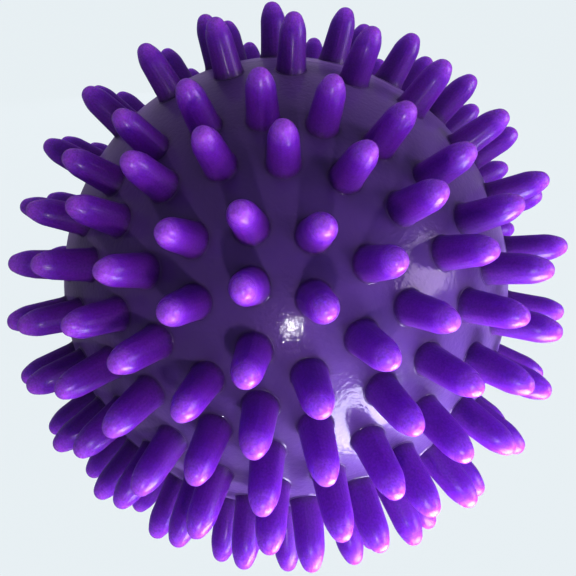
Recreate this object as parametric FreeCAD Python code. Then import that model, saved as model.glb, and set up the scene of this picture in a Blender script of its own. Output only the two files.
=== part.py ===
"""Massage ball: a hollow PVC ball with rings of cast spikes and a plugged air valve.

Millimetres and degrees. The origin is the ball's centre and +Z is up. The moulding axis is Y: the front
pole, with a spike on it, points along -Y, and the valve takes the place of the spike at the rear pole, +Y.
"""
import FreeCAD, Part
import math
import os

from FreeCAD import Vector

os.makedirs("parts", exist_ok=True)

# ---- driving dimensions -------------------------------------------------------------------------------
BALL_DIAMETER = 90.0  # over the spikes' tips
SKIN_DIAMETER = 72.5  # of the round skin under the spikes
SKIN_WALL = 2.4  # halfway between the poles
CAVITY_SHIFT = 0.4  # of the cavity towards the front pole, which leaves the wall thickest round the valve

# The rings from the front pole to the valve: (tilt from the front pole, number of spikes, turn of the first
# spike). The turn is measured at the front pole from +Z towards +X. The rings stand closer on the front cap;
# a wide bare band lies between the fifth and the sixth, and from there on they are about 16 degrees apart.
RINGS = (
    (11.7, 6, 53.0),
    (24.1, 12, 24.3),
    (35.4, 17, 15.7),
    (49.2, 21, 3.0),
    (60.3, 25, 11.2),
    (81.5, 24, 1.7),
    (97.5, 24, 11.5),
    (112.0, 21, 0.3),
    (127.5, 17, 6.0),
    (143.5, 12, 15.0),
    (160.5, 6, 0.0),
)

# One spike: a low bead round its foot, a shank that narrows slightly, and a bullet nose with a round tip.
FOOT_RADIUS = 2.4
FOOT_HEIGHT = 0.3
SHANK_RADIUS = 2.2  # at the bead
NOSE_RADIUS = 2.0  # where the shank ends and the nose begins
NOSE_LENGTH = 3.6
TIP_RADIUS = 1.4
TIP_ANGLE = 30.0  # above the tip's own equator, where the nose runs into it

# The valve: a soft bush through the skin, with a wide seat for the plug and a narrow needle channel.
BUSH_RADIUS = 4.2
BUSH_FLANGE_RADIUS = 8.0  # the flange lies against the skin's inner face
BUSH_FLANGE_THICKNESS = 1.8
BUSH_LENGTH = 10.0  # from its outer face inwards
BUSH_RECESS = 0.3  # its outer face lies this far under the skin's surface at the hole's edge
SEAT_RADIUS = 2.0
SEAT_DEPTH = 5.0
NEEDLE_RADIUS = 1.1
PLUG_CLEARANCE = 0.05  # all round the plug's stem
PLUG_STEM_LENGTH = 4.5
PLUG_NECK = 0.5  # length of the stem's rounded end
PLUG_HEAD_RADIUS = 3.4
PLUG_HEAD_THICKNESS = 0.8
PLUG_DOME = 0.6  # rise of the head's rounded top

# ---- worked out ---------------------------------------------------------------------------------------
ORIGIN = Vector(0, 0, 0)
MOULD_AXIS = Vector(0, 1, 0)
SKIN_OUTER = SKIN_DIAMETER / 2
SKIN_INNER = SKIN_OUTER - SKIN_WALL
TIP_HEIGHT = BALL_DIAMETER / 2  # of a spike's tip above the ball's centre
FULL_TURN = 360.0
RIGHT_ANGLE = 90.0


def height_on_sphere(radius, offset):
    """How far up its axis a sphere of this radius lies at this distance from the axis."""
    return math.sqrt(radius**2 - offset**2)


def height_in_cavity(offset):
    """How far towards the valve the skin's inner face lies at this distance from the moulding axis."""
    return height_on_sphere(SKIN_INNER, offset) - CAVITY_SHIFT


BUSH_FACE = height_on_sphere(SKIN_OUTER, BUSH_RADIUS) - BUSH_RECESS
BUSH_END = BUSH_FACE - BUSH_LENGTH
SEAT_FLOOR = BUSH_FACE - SEAT_DEPTH


# ---- drawing ------------------------------------------------------------------------------------------
def line(start, end):
    return Part.makeLine(start, end)


def arc(start, middle, end):
    return Part.Arc(start, middle, end).toShape()


def turned(edges, axis):
    """The solid that a closed profile sweeps in one turn about an axis through the origin."""
    face = Part.Face(Part.Wire(edges))
    return face.revolve(ORIGIN, axis, FULL_TURN)


def save(name, solids):
    """Writes one sub-part, as a group where it is more than one solid."""
    shape = solids[0] if len(solids) == 1 else Part.makeCompound(solids)
    shape.exportStep(os.path.join("parts", name + ".step"))


# ---- the skin -----------------------------------------------------------------------------------------
def ball_skin():
    """The hollow ball, in one piece, with the valve's hole at its rear pole."""
    outer_edge = Vector(BUSH_RADIUS, height_on_sphere(SKIN_OUTER, BUSH_RADIUS), 0)
    inner_edge = Vector(BUSH_RADIUS, height_in_cavity(BUSH_RADIUS), 0)
    outer_pole = Vector(0, -SKIN_OUTER, 0)
    inner_pole = Vector(0, -SKIN_INNER - CAVITY_SHIFT, 0)
    return turned(
        [
            arc(outer_pole, Vector(SKIN_OUTER, 0, 0), outer_edge),
            line(outer_edge, inner_edge),
            arc(inner_edge, Vector(SKIN_INNER, -CAVITY_SHIFT, 0), inner_pole),
            line(inner_pole, outer_pole),
        ],
        MOULD_AXIS,
    )


# ---- the spikes ---------------------------------------------------------------------------------------
def tip_point(angle):
    """A point on the round tip of an upright spike, at an angle above the tip's equator."""
    a = math.radians(angle)
    return Vector(TIP_RADIUS * math.cos(a), 0, TIP_HEIGHT - TIP_RADIUS + TIP_RADIUS * math.sin(a))


def nose_middle(start, end):
    """The middle of the nose's arc, which leaves the round tip in line with it."""
    chord = end - start
    lean = math.atan2(-chord.x, chord.z)
    half_turn = math.radians(TIP_ANGLE) - lean
    outward = Vector(chord.z, 0, -chord.x).normalize()
    return (start + end) / 2 + outward * (chord.Length / 2 * math.tan(half_turn / 2))


def upright_spike():
    """One spike standing on the skin along +Z, its foot shaped to the skin's own curve."""
    foot_edge = Vector(FOOT_RADIUS, 0, height_on_sphere(SKIN_OUTER, FOOT_RADIUS))
    foot_middle = Vector(FOOT_RADIUS / 2, 0, height_on_sphere(SKIN_OUTER, FOOT_RADIUS / 2))
    foot_pole = Vector(0, 0, SKIN_OUTER)
    bead_top = Vector(SHANK_RADIUS, 0, foot_edge.z + FOOT_HEIGHT)
    bead_side = Vector(FOOT_RADIUS, 0, foot_edge.z + FOOT_HEIGHT / 2)
    nose_start = Vector(NOSE_RADIUS, 0, TIP_HEIGHT - NOSE_LENGTH)
    nose_end = tip_point(TIP_ANGLE)
    tip = Vector(0, 0, TIP_HEIGHT)
    return turned(
        [
            arc(foot_pole, foot_middle, foot_edge),
            arc(foot_edge, bead_side, bead_top),
            line(bead_top, nose_start),
            arc(nose_start, nose_middle(nose_start, nose_end), nose_end),
            arc(nose_end, tip_point((TIP_ANGLE + RIGHT_ANGLE) / 2), tip),
            line(tip, foot_pole),
        ],
        Vector(0, 0, 1),
    )


def direction(tilt, turn):
    """Outward direction at a tilt from the front pole and a turn from +Z towards +X."""
    t = math.radians(tilt)
    a = math.radians(turn)
    return Vector(math.sin(t) * math.sin(a), -math.cos(t), math.sin(t) * math.cos(a))


def spike_at(tilt, turn):
    spike = upright_spike()
    spike.Placement = FreeCAD.Placement(ORIGIN, FreeCAD.Rotation(Vector(0, 0, 1), direction(tilt, turn)))
    return spike


def ring(tilt, count, turn):
    step = FULL_TURN / count
    return [spike_at(tilt, turn + step * i) for i in range(count)]


# ---- the valve ----------------------------------------------------------------------------------------
def valve_bush():
    """A bush through the skin with its flange inside, bored wide for the plug and narrow for a needle."""
    flange_top = height_in_cavity(BUSH_FLANGE_RADIUS)
    neck_top = height_in_cavity(BUSH_RADIUS)
    middle_radius = (BUSH_FLANGE_RADIUS + BUSH_RADIUS) / 2
    flange_middle = Vector(middle_radius, height_in_cavity(middle_radius), 0)
    flange_floor = flange_top - BUSH_FLANGE_THICKNESS
    corners = [
        Vector(BUSH_FLANGE_RADIUS, flange_top, 0),
        Vector(BUSH_FLANGE_RADIUS, flange_floor, 0),
        Vector(BUSH_RADIUS, flange_floor, 0),
        Vector(BUSH_RADIUS, BUSH_END, 0),
        Vector(NEEDLE_RADIUS, BUSH_END, 0),
        Vector(NEEDLE_RADIUS, SEAT_FLOOR, 0),
        Vector(SEAT_RADIUS, SEAT_FLOOR, 0),
        Vector(SEAT_RADIUS, BUSH_FACE, 0),
        Vector(BUSH_RADIUS, BUSH_FACE, 0),
        Vector(BUSH_RADIUS, neck_top, 0),
    ]
    edges = [line(start, end) for start, end in zip(corners, corners[1:])]
    edges.append(arc(corners[-1], flange_middle, corners[0]))
    return turned(edges, MOULD_AXIS)


def valve_plug():
    """The stopper: a round stem in the bush's seat under a low domed head."""
    stem = SEAT_RADIUS - PLUG_CLEARANCE
    stem_end = BUSH_FACE - PLUG_STEM_LENGTH
    head_edge = BUSH_FACE + PLUG_HEAD_THICKNESS
    dome_top = head_edge + PLUG_DOME
    dome_radius = (PLUG_HEAD_RADIUS**2 + PLUG_DOME**2) / (2 * PLUG_DOME)
    middle_height = dome_top - dome_radius + height_on_sphere(dome_radius, PLUG_HEAD_RADIUS / 2)
    dome_middle = Vector(PLUG_HEAD_RADIUS / 2, middle_height, 0)
    corners = [
        Vector(0, dome_top, 0),
        Vector(0, stem_end, 0),
        Vector(stem - PLUG_NECK, stem_end, 0),
        Vector(stem, stem_end + PLUG_NECK, 0),
        Vector(stem, BUSH_FACE, 0),
        Vector(PLUG_HEAD_RADIUS, BUSH_FACE, 0),
        Vector(PLUG_HEAD_RADIUS, head_edge, 0),
    ]
    edges = [line(start, end) for start, end in zip(corners, corners[1:])]
    edges.append(arc(corners[-1], dome_middle, corners[0]))
    return turned(edges, MOULD_AXIS)


# ---- the sub-parts ------------------------------------------------------------------------------------
save("ball_skin", [ball_skin()])
save("spike_front_pole", [spike_at(0.0, 0.0)])
for number, (tilt, count, turn) in enumerate(RINGS, start=1):
    save(f"spikes_ring_{number:02d}", ring(tilt, count, turn))
save("valve_bush", [valve_bush()])
save("valve_plug", [valve_plug()])
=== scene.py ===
"""Looks of the massage ball: violet spikes on a smoky soft-PVC skin, with an air valve at the rear pole.

Metres, in the row frame: the ball's centre is the origin, +Z is up and the valve is at the +Y pole.
"""
import math
import random

import bpy
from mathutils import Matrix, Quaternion, Vector, noise


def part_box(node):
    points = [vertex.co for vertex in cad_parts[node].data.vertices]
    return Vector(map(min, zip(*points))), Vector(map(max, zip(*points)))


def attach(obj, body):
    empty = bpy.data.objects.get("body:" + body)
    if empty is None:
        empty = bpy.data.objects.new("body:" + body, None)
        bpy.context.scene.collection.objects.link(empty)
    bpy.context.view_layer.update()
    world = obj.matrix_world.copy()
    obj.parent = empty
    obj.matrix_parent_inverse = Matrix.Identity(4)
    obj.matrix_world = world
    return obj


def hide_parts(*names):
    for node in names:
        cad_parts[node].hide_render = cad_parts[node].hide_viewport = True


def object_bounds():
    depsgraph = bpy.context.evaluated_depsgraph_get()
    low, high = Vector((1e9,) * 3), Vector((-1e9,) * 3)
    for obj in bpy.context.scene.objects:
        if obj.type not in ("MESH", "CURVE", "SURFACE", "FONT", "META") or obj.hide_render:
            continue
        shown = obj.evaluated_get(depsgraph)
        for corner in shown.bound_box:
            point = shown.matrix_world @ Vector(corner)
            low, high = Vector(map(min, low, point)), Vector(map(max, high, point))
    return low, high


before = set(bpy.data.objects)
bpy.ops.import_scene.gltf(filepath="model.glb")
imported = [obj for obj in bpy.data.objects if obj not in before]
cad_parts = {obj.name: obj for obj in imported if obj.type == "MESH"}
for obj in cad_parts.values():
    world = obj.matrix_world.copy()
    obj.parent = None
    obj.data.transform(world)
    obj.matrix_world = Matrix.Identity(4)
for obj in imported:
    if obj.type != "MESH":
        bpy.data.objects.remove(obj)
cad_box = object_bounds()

MM = 0.001
TURN = 2 * math.pi
UP = Vector((0, 0, 1))

# ---- sizes read from the frame ------------------------------------------------------------------------
SKIN_RADIUS = -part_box("ball_skin")[0].y
TIP_HEIGHT = -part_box("spike_front_pole")[0].y
FLOOR_HEIGHT = cad_box[0].z

# ---- one spike ----------------------------------------------------------------------------------------
SPIKE_SEGMENTS = 28
TIP_RADIUS = 1.4 * MM
TIP_ANGLE = math.radians(30)  # above the tip's equator, where the nose runs into it
TIP_STEPS = 6
NOSE_RADIUS = 2.0 * MM
NOSE_LENGTH = 3.6 * MM
NOSE_STEPS = 5
FOOT_RADIUS = 2.2 * MM
SHANK_STEPS = 5
FLARE_WIDTH = 0.18 * MM  # of the small fillet into the skin
FLARE_HEIGHT = 1.3 * MM
FLARE_CURVE = 2.2  # how late the fillet turns outwards
FLARE_STEPS = 4
FOOT_DEPTH = 0.45 * MM  # how far a spike's foot runs under the skin's surface

# Soft castings are never quite alike and never stand quite true.
SHORTEST = -0.02
LONGEST = 0.01
OVALITY = 0.03
MOST_BEND = 0.3 * MM
MOST_LEAN = math.radians(1.6)
SEED = 7

# ---- the skin -----------------------------------------------------------------------------------------
SKIN_SEGMENTS = 288
SKIN_ROWS = 216
INNER_ROWS = 54
SKIN_WALL = 2.4 * MM
CAVITY_SHIFT = 0.4 * MM  # of the cavity towards the front pole
VALVE_HOLE = 4.2 * MM  # its radius
SKIN_WAVE = 0.05 * MM
BROAD_WAVES = 3.1  # cells of the noise in a radius, for the skin's broad and its fine waves
FINE_WAVES = 8.3
FINE_SHARE = 0.5
SEAM_HEIGHT = 0.09 * MM
SEAM_WIDTH = 0.35 * MM

# The skin's lip round each spike's foot.
LIP_RADIUS = 2.36 * MM
LIP_WIDTH = 0.3 * MM
LIP_HEIGHT = 0.12 * MM
LIP_SINK = 0.08 * MM  # of its outer edge under the skin's surface
LIP_DEPTH = 0.4 * MM  # of its closed underside
LIP_STEPS = 6

rng = random.Random(SEED)


# ---- meshes -------------------------------------------------------------------------------------------
def new_object(name, verts, faces, smooth=True):
    mesh = bpy.data.meshes.new(name)
    mesh.from_pydata(verts, [], faces)
    mesh.validate()
    mesh.polygons.foreach_set("use_smooth", [smooth] * len(mesh.polygons))
    piece = bpy.data.objects.new(name, mesh)
    bpy.context.scene.collection.objects.link(piece)
    return piece


def round_z(radius, angle, height):
    """A point at a radius and an angle round +Z."""
    return Vector((radius * math.cos(angle), radius * math.sin(angle), height))


def closed_turning(first, rows, segments):
    """Faces of a closed turned form: one corner at its start, rows of corners, and one corner at its end.

    The corners are numbered in that order from `first`.
    """

    def corner(row, i):
        return first + 1 + row * segments + i % segments

    end = first + 1 + rows * segments
    faces = []
    for i in range(segments):
        faces.append((first, corner(0, i), corner(0, i + 1)))
        for row in range(rows - 1):
            faces.append((corner(row, i), corner(row + 1, i), corner(row + 1, i + 1), corner(row, i + 1)))
        faces.append((end, corner(rows - 1, i + 1), corner(rows - 1, i)))
    return faces


# ---- where the spikes stand ---------------------------------------------------------------------------
SAME_PLACE_DIGITS = 7  # corners that agree to so many digits of a metre are one
NOSE_ZONE = 2 * MM  # the part of a spike's top that gives its axis
FOOT_ZONE = MM  # and the part of its foot


def islands(mesh):
    """The separate solids in a mesh, each as a list of its vertices' places."""
    parent = list(range(len(mesh.vertices)))

    def root(i):
        while parent[i] != i:
            parent[i] = parent[parent[i]]
            i = parent[i]
        return i

    place = {}
    for vertex in mesh.vertices:
        key = tuple(round(c, SAME_PLACE_DIGITS) for c in vertex.co)
        first = place.setdefault(key, vertex.index)
        parent[root(vertex.index)] = root(first)
    for edge in mesh.edges:
        start, end = edge.vertices
        parent[root(start)] = root(end)
    groups = {}
    for vertex in mesh.vertices:
        groups.setdefault(root(vertex.index), []).append(vertex.co)
    return list(groups.values())


def middle(corners):
    return sum(corners, Vector()) / len(corners)


def spike_axes(node):
    """The outward direction of each spike in a ring, in order round the ring."""
    axes = []
    for corners in islands(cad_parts[node].data):
        reach = max(co.length for co in corners)
        top = [co for co in corners if co.length > reach - NOSE_ZONE]
        bottom = [co for co in corners if co.length < SKIN_RADIUS + FOOT_ZONE]
        axes.append((middle(top) + middle(bottom)).normalized())
    return sorted(axes, key=lambda axis: math.atan2(axis.x, axis.z))


# ---- mesh of the spikes -------------------------------------------------------------------------------
def spike_profile():
    """(height above the ball's centre, radius) from just under the tip down to the buried foot."""
    points = []
    for i in range(1, TIP_STEPS + 1):
        a = math.pi / 2 - (math.pi / 2 - TIP_ANGLE) * i / TIP_STEPS
        points.append((TIP_HEIGHT - TIP_RADIUS + TIP_RADIUS * math.sin(a), TIP_RADIUS * math.cos(a)))
    nose_top, tip_edge = points[-1]
    nose_end = TIP_HEIGHT - NOSE_LENGTH
    for i in range(1, NOSE_STEPS + 1):
        t = i / NOSE_STEPS
        height = nose_top + (nose_end - nose_top) * t
        points.append((height, tip_edge + (NOSE_RADIUS - tip_edge) * (1 - (1 - t) ** 2)))
    flare_top = SKIN_RADIUS + FLARE_HEIGHT
    for i in range(1, SHANK_STEPS + 1):
        t = i / SHANK_STEPS
        points.append((nose_end + (flare_top - nose_end) * t, NOSE_RADIUS + (FOOT_RADIUS - NOSE_RADIUS) * t))
    for i in range(1, FLARE_STEPS + 1):
        t = i / FLARE_STEPS
        points.append((flare_top - FLARE_HEIGHT * t, FOOT_RADIUS + FLARE_WIDTH * t**FLARE_CURVE))
    points.append((SKIN_RADIUS - FOOT_DEPTH, FOOT_RADIUS + FLARE_WIDTH))
    return points


PROFILE = spike_profile()


def add_spike(axis, verts, faces, local):
    """Appends one closed spike, with its own small casting faults, to the lists of a ring's mesh."""
    stretch = 1 + rng.uniform(SHORTEST, LONGEST)
    oval = rng.uniform(-OVALITY, OVALITY)
    oval_turn = rng.uniform(0, TURN)
    bend = rng.uniform(0, MOST_BEND)
    bend_turn = rng.uniform(0, TURN)
    lean = Quaternion((math.cos(bend_turn), math.sin(bend_turn), 0), rng.uniform(0, MOST_LEAN))
    turn = UP.rotation_difference(axis)
    foot = Vector((0, 0, SKIN_RADIUS))
    length = TIP_HEIGHT - SKIN_RADIUS

    def place(point):
        raised = max(0.0, (point.z - SKIN_RADIUS) / length)
        bent = point + round_z(bend * raised**2, bend_turn, 0)
        above_foot = Vector((bent.x, bent.y, (bent.z - SKIN_RADIUS) * stretch))
        verts.append(turn @ (foot + lean @ above_foot))
        local.append(bent)

    faces.extend(closed_turning(len(verts), len(PROFILE), SPIKE_SEGMENTS))
    place(Vector((0, 0, TIP_HEIGHT)))
    for height, radius in PROFILE:
        for i in range(SPIKE_SEGMENTS):
            angle = TURN * i / SPIKE_SEGMENTS
            swell = 1 + oval * math.cos(2 * (angle - oval_turn))
            place(round_z(radius * swell, angle, height))
    place(Vector((0, 0, SKIN_RADIUS - FOOT_DEPTH)))


def spike_group(node, axes):
    """A finer mesh for one ring of spikes, which stands for its CAD node."""
    verts, faces, local = [], [], []
    for axis in axes:
        add_spike(axis, verts, faces, local)
    piece = new_object(node + "_cast", verts, faces)
    stored = piece.data.attributes.new("spike_place", "FLOAT_VECTOR", "POINT")
    stored.data.foreach_set("vector", [c / MM for point in local for c in point])
    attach(piece, "ball")
    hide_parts(node)
    return piece


# ---- mesh of the skin ---------------------------------------------------------------------------------
def skin_height(direction):
    """Radius of the skin's outer face in a direction: slightly wavy, with the mould's fine parting line."""
    wave = noise.noise(direction * BROAD_WAVES) + FINE_SHARE * noise.noise(direction * FINE_WAVES)
    seam = math.exp(-((direction.y * SKIN_RADIUS / SEAM_WIDTH) ** 2))
    return SKIN_RADIUS + SKIN_WAVE * wave + SEAM_HEIGHT * seam


def directions_round(tilt):
    """Outward directions in a ring at a tilt from the front pole."""
    for i in range(SKIN_SEGMENTS):
        a = TURN * i / SKIN_SEGMENTS
        yield Vector((math.sin(tilt) * math.sin(a), -math.cos(tilt), math.sin(tilt) * math.cos(a)))


def ball_skin(axes):
    """The hollow skin with the valve's hole, and a fine lip of skin round the foot of every spike."""
    front = Vector((0, -1, 0))
    inner_radius = SKIN_RADIUS - SKIN_WALL
    shift = front * CAVITY_SHIFT
    outer_end = math.pi - math.asin(VALVE_HOLE / SKIN_RADIUS)
    inner_end = math.pi - math.asin(VALVE_HOLE / inner_radius)
    verts = [front * skin_height(front)]
    for i in range(SKIN_ROWS):
        verts.extend(d * skin_height(d) for d in directions_round(outer_end * (i + 1) / SKIN_ROWS))
    for i in range(INNER_ROWS):
        tilt = inner_end * (INNER_ROWS - i) / INNER_ROWS
        verts.extend(d * inner_radius + shift for d in directions_round(tilt))
    verts.append(front * inner_radius + shift)
    faces = closed_turning(0, SKIN_ROWS + INNER_ROWS, SKIN_SEGMENTS)
    for axis in axes:
        add_lip(axis, verts, faces)
    piece = new_object("ball_skin_soft", verts, faces)
    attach(piece, "ball")
    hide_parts("ball_skin")
    return piece


def lip_profile():
    """(radius, height above the ball's centre) round the section of a lip."""
    points = []
    for i in range(LIP_STEPS + 1):
        t = i / LIP_STEPS
        radius = LIP_RADIUS + LIP_WIDTH * t
        surface = math.sqrt(SKIN_RADIUS**2 - radius**2)
        points.append((radius, surface + LIP_HEIGHT * (1 - t) ** 2 - LIP_SINK * t))
    under = SKIN_RADIUS - LIP_DEPTH
    points.append((LIP_RADIUS + LIP_WIDTH, under))
    points.append((LIP_RADIUS, under))
    return points


def add_lip(axis, verts, faces):
    """Appends the closed ring of skin that rises against one spike's foot."""
    turn = UP.rotation_difference(axis)
    profile = lip_profile()
    first = len(verts)
    for radius, height in profile:
        for i in range(SPIKE_SEGMENTS):
            verts.append(turn @ round_z(radius, TURN * i / SPIKE_SEGMENTS, height))
    for row in range(len(profile)):
        here = first + row * SPIKE_SEGMENTS
        after = first + (row + 1) % len(profile) * SPIKE_SEGMENTS
        for i in range(SPIKE_SEGMENTS):
            j = (i + 1) % SPIKE_SEGMENTS
            faces.append((here + i, after + i, after + j, here + j))


# ---- materials ----------------------------------------------------------------------------------------
# Settings that are the same all over a surface, by the shader's own names for them.
SPIKE_FINISH = {
    "IOR": 1.45,
    "Specular Tint": (0.74, 0.72, 1.0, 1),
    "Coat Weight": 0.16,
    "Coat Roughness": 0.17,
    "Subsurface Weight": 0.9,
    "Subsurface Radius": (1.0, 0.35, 1.5),
    "Subsurface Scale": 2.2 * MM,
}
SKIN_FINISH = {
    "IOR": 1.34,
    "Specular Tint": (0.56, 0.28, 1.0, 1),
    "Sheen Weight": 0.5,
    "Sheen Roughness": 0.5,
    "Sheen Tint": (0.60, 0.38, 1.0, 1),
    "Coat Weight": 0.55,
    "Coat Roughness": 0.07,
    "Subsurface Weight": 0.4,
    "Subsurface Radius": (1.2, 0.8, 2.0),
    "Subsurface Scale": 2.0 * MM,
}

# Tones of a spike, from the skin (0) to the tip (1), and how dull it is there. The tones hold painted shade,
# darker at the foot where the spike meets the skin, and a painted glow, brighter towards the tip.
SPIKE_SHADE_AND_GLOW_TONES = (
    (0.0, (0.060, 0.014, 0.150)),
    (0.14, (0.122, 0.013, 0.300)),
    (0.5, (0.142, 0.012, 0.375)),
    (0.74, (0.178, 0.018, 0.490)),
    (0.96, (0.395, 0.100, 0.790)),
)
SPIKE_DULLNESS = ((0.45, (0.52, 0.52, 0.52)), (0.85, (0.27, 0.27, 0.27)))
STREAK_SQUEEZE = (1.9, 1.9, 0.12)  # draws the noise out along the spike
HALFWAY = 0.5  # where a new stop of a ramp is put, before it gets its own place

# Two tones of each cloudy or grainy plastic.
SKIN_TONES = ((0.3, (0.068, 0.030, 0.165)), (0.7, (0.096, 0.040, 0.24)))
VALVE_TONES = ((0.3, (0.03, 0.02, 0.06)), (0.7, (0.05, 0.03, 0.09)))
PLUG_TONES = ((0.3, (0.10, 0.016, 0.40)), (0.7, (0.16, 0.03, 0.55)))


def shader_of(material):
    return material.node_tree.nodes["Principled BSDF"]


def node_material(name, finish):
    """A new material, with the settings that are the same all over the surface."""
    material = bpy.data.materials.new(name)
    material.use_nodes = True
    for socket, value in finish.items():
        shader_of(material).inputs[socket].default_value = value
    return material


def link_all(material, node, sources):
    """Links a node's inputs to the outputs that `sources` gives for them."""
    for socket, output in sources.items():
        material.node_tree.links.new(output, node.inputs[socket])


def add_node(material, kind, sources=None, **values):
    """A node with some inputs set and some linked; `_` stands for the space in an input's name."""
    node = material.node_tree.nodes.new(kind)
    for name, value in values.items():
        node.inputs[name.replace("_", " ")].default_value = value
    link_all(material, node, sources or {})
    return node


def object_place(material):
    return add_node(material, "ShaderNodeTexCoord").outputs["Object"]


def noise_texture(material, place, scale, detail):
    node = add_node(material, "ShaderNodeTexNoise", {"Vector": place}, Scale=scale, Detail=detail)
    return node.outputs["Fac"]


def span(material, value, **limits):
    """A value moved from one range to another."""
    return add_node(material, "ShaderNodeMapRange", {"Value": value}, **limits).outputs["Result"]


def vector_math(material, operation, sources):
    node = add_node(material, "ShaderNodeVectorMath")
    node.operation = operation
    link_all(material, node, sources)
    return node


def ramp(material, value, stops):
    """Colours at stops along a value."""
    node = add_node(material, "ShaderNodeValToRGB", {"Fac": value})
    elements = node.color_ramp.elements
    while len(elements) < len(stops):
        elements.new(HALFWAY)
    for element, (place, colour) in zip(elements, stops):
        element.position = place
        element.color = (*colour, 1)
    return node.outputs["Color"]


def bump(material, height, strength, distance, under=None):
    """Small unevenness of the surface, on top of another one where it is given."""
    sources = {"Height": height}
    if under is not None:
        sources["Normal"] = under
    node = add_node(material, "ShaderNodeBump", sources, Strength=strength, Distance=distance)
    return node.outputs["Normal"]


def spike_material():
    """Violet PVC with painted shade darkening the foot and a painted glow brightening the tip; glossier
    towards the tip, with fine streaks along it.
    """
    material = node_material("violet_pvc", SPIKE_FINISH)
    place = object_place(material)
    distance = vector_math(material, "LENGTH", {0: place}).outputs["Value"]
    height = span(material, distance, From_Min=SKIN_RADIUS, From_Max=TIP_HEIGHT)

    mottle = noise_texture(material, place, scale=3600.0, detail=1.0)
    tone = span(material, mottle, To_Min=0.6, To_Max=1.4)
    # The ramp paints shade at the foot and a glow at the tip; a random mottle of tone goes over it.
    body = ramp(material, height, SPIKE_SHADE_AND_GLOW_TONES)
    mottled_shade_and_glow = vector_math(material, "SCALE", {0: body, "Scale": tone}).outputs["Vector"]

    stored = add_node(material, "ShaderNodeAttribute")
    stored.attribute_name = "spike_place"
    squeezed = vector_math(material, "MULTIPLY", {0: stored.outputs["Vector"]})
    squeezed.inputs[1].default_value = STREAK_SQUEEZE
    streaks = noise_texture(material, squeezed.outputs["Vector"], scale=1.6, detail=2.0)
    grain = noise_texture(material, place, scale=2600.0, detail=2.0)
    streaked = bump(material, streaks, strength=0.35, distance=0.2 * MM)

    link_all(
        material,
        shader_of(material),
        {
            "Base Color": mottled_shade_and_glow,
            "Roughness": ramp(material, height, SPIKE_DULLNESS),
            "Normal": bump(material, grain, strength=0.12, distance=0.1 * MM, under=streaked),
        },
    )
    return material


def skin_material():
    """Smoky PVC: cloudy in tone, with a fine grain that breaks a lamp's reflection into sparkles."""
    material = node_material("smoky_pvc", SKIN_FINISH)
    place = object_place(material)
    clouds = noise_texture(material, place, scale=38.0, detail=3.0)
    grain = noise_texture(material, place, scale=1500.0, detail=4.0)
    link_all(
        material,
        shader_of(material),
        {
            "Base Color": ramp(material, clouds, SKIN_TONES),
            "Roughness": span(material, grain, To_Min=0.34, To_Max=0.46),
            "Normal": bump(material, grain, strength=0.6, distance=0.12 * MM),
            "Coat Normal": bump(material, grain, strength=0.45, distance=0.12 * MM),
        },
    )
    return material


def valve_material(name, tones, roughness):
    """Soft PVC with a fine grain, between two tones."""
    material = node_material(name, {"Roughness": roughness})
    grain = noise_texture(material, object_place(material), scale=1400.0, detail=3.0)
    link_all(
        material,
        shader_of(material),
        {
            "Base Color": ramp(material, grain, tones),
            "Normal": bump(material, grain, strength=0.25, distance=0.1 * MM),
        },
    )
    return material


def give(piece, material):
    piece.data.materials.clear()
    piece.data.materials.append(material)


# ---- build the pieces ---------------------------------------------------------------------------------
violet = spike_material()
smoky = skin_material()
all_axes = []
for node in sorted(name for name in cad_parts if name.startswith("spike")):
    ring_axes = spike_axes(node)
    give(spike_group(node, ring_axes), violet)
    all_axes.extend(ring_axes)
give(ball_skin(all_axes), smoky)
give(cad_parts["valve_bush"], valve_material("valve_rubber", VALVE_TONES, roughness=0.5))
give(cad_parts["valve_plug"], valve_material("plug_pvc", PLUG_TONES, roughness=0.32))

# ---- floor and light ----------------------------------------------------------------------------------
FLOOR_HALF = 10.0
FLOOR_FINISH = {
    "Base Color": (0.01, 0.011, 0.012, 1),
    "Specular IOR Level": 0.0,
    "Roughness": 0.8,
    "Emission Color": (0.80, 0.865, 0.895, 1),
    "Emission Strength": 1.0,
}
ROOM_COLOUR = (0.84, 0.80, 0.96, 1)
ROOM_STRENGTH = 0.18
TABLE = FLOOR_HEIGHT / MM

# Lamps by name: place and facing, both from the ball's centre, and width in millimetres; watts; colour; and
# whether the lamp shows in reflections. Two lie just over the table, for the glow that it throws back up.
LAMPS = {
    "table_wide": ((70, -60, TABLE + 1), (0, 0, 1), 260, 0.142, (0.77, 0.58, 1.0), False),
    "table_glow": ((50, -62, TABLE + 2), (-0.1, 0.1, 1), 56, 0.17, (0.84, 0.82, 1.0), True),
    "small_lamp": ((12, -98, 11.5), (-0.12, 0.99, -0.115), 5, 0.015, (1.0, 0.94, 1.0), True),
    "front_right": ((174, -193, 12), (-0.67, 0.74, -0.05), 110, 0.12, (0.82, 0.66, 1.0), False),
    "right_window": ((330, -90, 60), (-1.0, 0.25, -0.15), 160, 0.55, (0.88, 0.72, 1.0), True),
    "room_top": ((-60, 120, 330), (0.18, -0.34, -1.0), 200, 0.18, (0.96, 0.93, 1.0), False),
    "back_wall": ((-90, 290, 80), (0.29, -0.92, -0.25), 260, 0.62, (0.92, 0.86, 1.0), False),
}


def studio_floor():
    """A pale floor with a glow of its own, which leaves the ball's light to the lamps."""
    z = FLOOR_HEIGHT
    corners = [(-FLOOR_HALF, -FLOOR_HALF, z), (FLOOR_HALF, -FLOOR_HALF, z)]
    corners += [(FLOOR_HALF, FLOOR_HALF, z), (-FLOOR_HALF, FLOOR_HALF, z)]
    floor = new_object("studio_floor", corners, [(0, 1, 2, 3)], smooth=False)
    give(floor, node_material("pale_floor", FLOOR_FINISH))
    floor.visible_diffuse = False
    floor.visible_glossy = False


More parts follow.
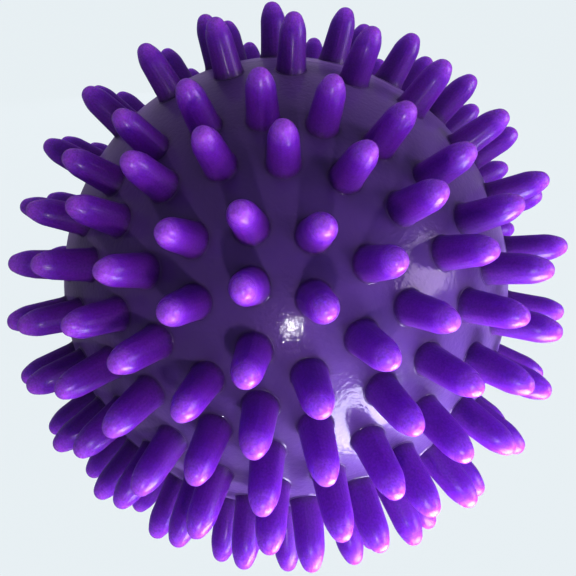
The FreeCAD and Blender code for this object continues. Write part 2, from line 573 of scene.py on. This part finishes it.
def area_light(name, place, facing, width, power, colour, glossy):
    """A soft round light that stays out of the camera's view."""
    data = bpy.data.lights.new(name, "AREA")
    data.shape = "DISK"
    data.size = width * MM
    data.energy = power
    data.color = colour
    light = bpy.data.objects.new(name, data)
    light.location = Vector(place) * MM
    light.rotation_mode = "QUATERNION"
    light.rotation_quaternion = Vector(facing).to_track_quat("-Z", "Y")
    light.visible_camera = False
    light.visible_glossy = glossy
    bpy.context.scene.collection.objects.link(light)


def studio_room():
    world = bpy.data.worlds.new("studio")
    world.use_nodes = True
    background = world.node_tree.nodes["Background"]
    background.inputs["Color"].default_value = ROOM_COLOUR
    background.inputs["Strength"].default_value = ROOM_STRENGTH
    bpy.context.scene.world = world


studio_floor()
studio_room()
for name, lamp in LAMPS.items():
    area_light(name, *lamp)

# ---- camera -------------------------------------------------------------------------------------------
CAMERA_AZIMUTH = math.radians(3.8)  # from straight ahead (-Y) towards +X
CAMERA_ELEVATION = math.radians(27.25)
CAMERA_DISTANCE = 122.0 * MM
LOOK_TURN = math.radians(7.05)  # from straight ahead (+Y) towards -X
LOOK_DOWN = math.radians(18.3)
LENS = 43.9
SHIFT_RIGHT = 0.072
SHIFT_DOWN = 0.224
NEAREST = 5 * MM
FARTHEST = 20.0


def seen_from_centre(azimuth, elevation):
    """The direction at an azimuth from -Y towards +X and an elevation."""
    level = math.cos(elevation)
    return Vector((math.sin(azimuth) * level, -math.cos(azimuth) * level, math.sin(elevation)))


def studio_camera():
    data = bpy.data.cameras.new("camera")
    data.lens = LENS
    data.shift_x = SHIFT_RIGHT
    data.shift_y = -SHIFT_DOWN
    data.clip_start = NEAREST
    data.clip_end = FARTHEST
    camera = bpy.data.objects.new("camera", data)
    camera.location = seen_from_centre(CAMERA_AZIMUTH, CAMERA_ELEVATION) * CAMERA_DISTANCE
    camera.rotation_mode = "QUATERNION"
    camera.rotation_quaternion = (-seen_from_centre(LOOK_TURN, LOOK_DOWN)).to_track_quat("-Z", "Y")
    bpy.context.scene.collection.objects.link(camera)
    bpy.context.scene.camera = camera


studio_camera()
bpy.context.scene.view_settings.view_transform = "Standard"
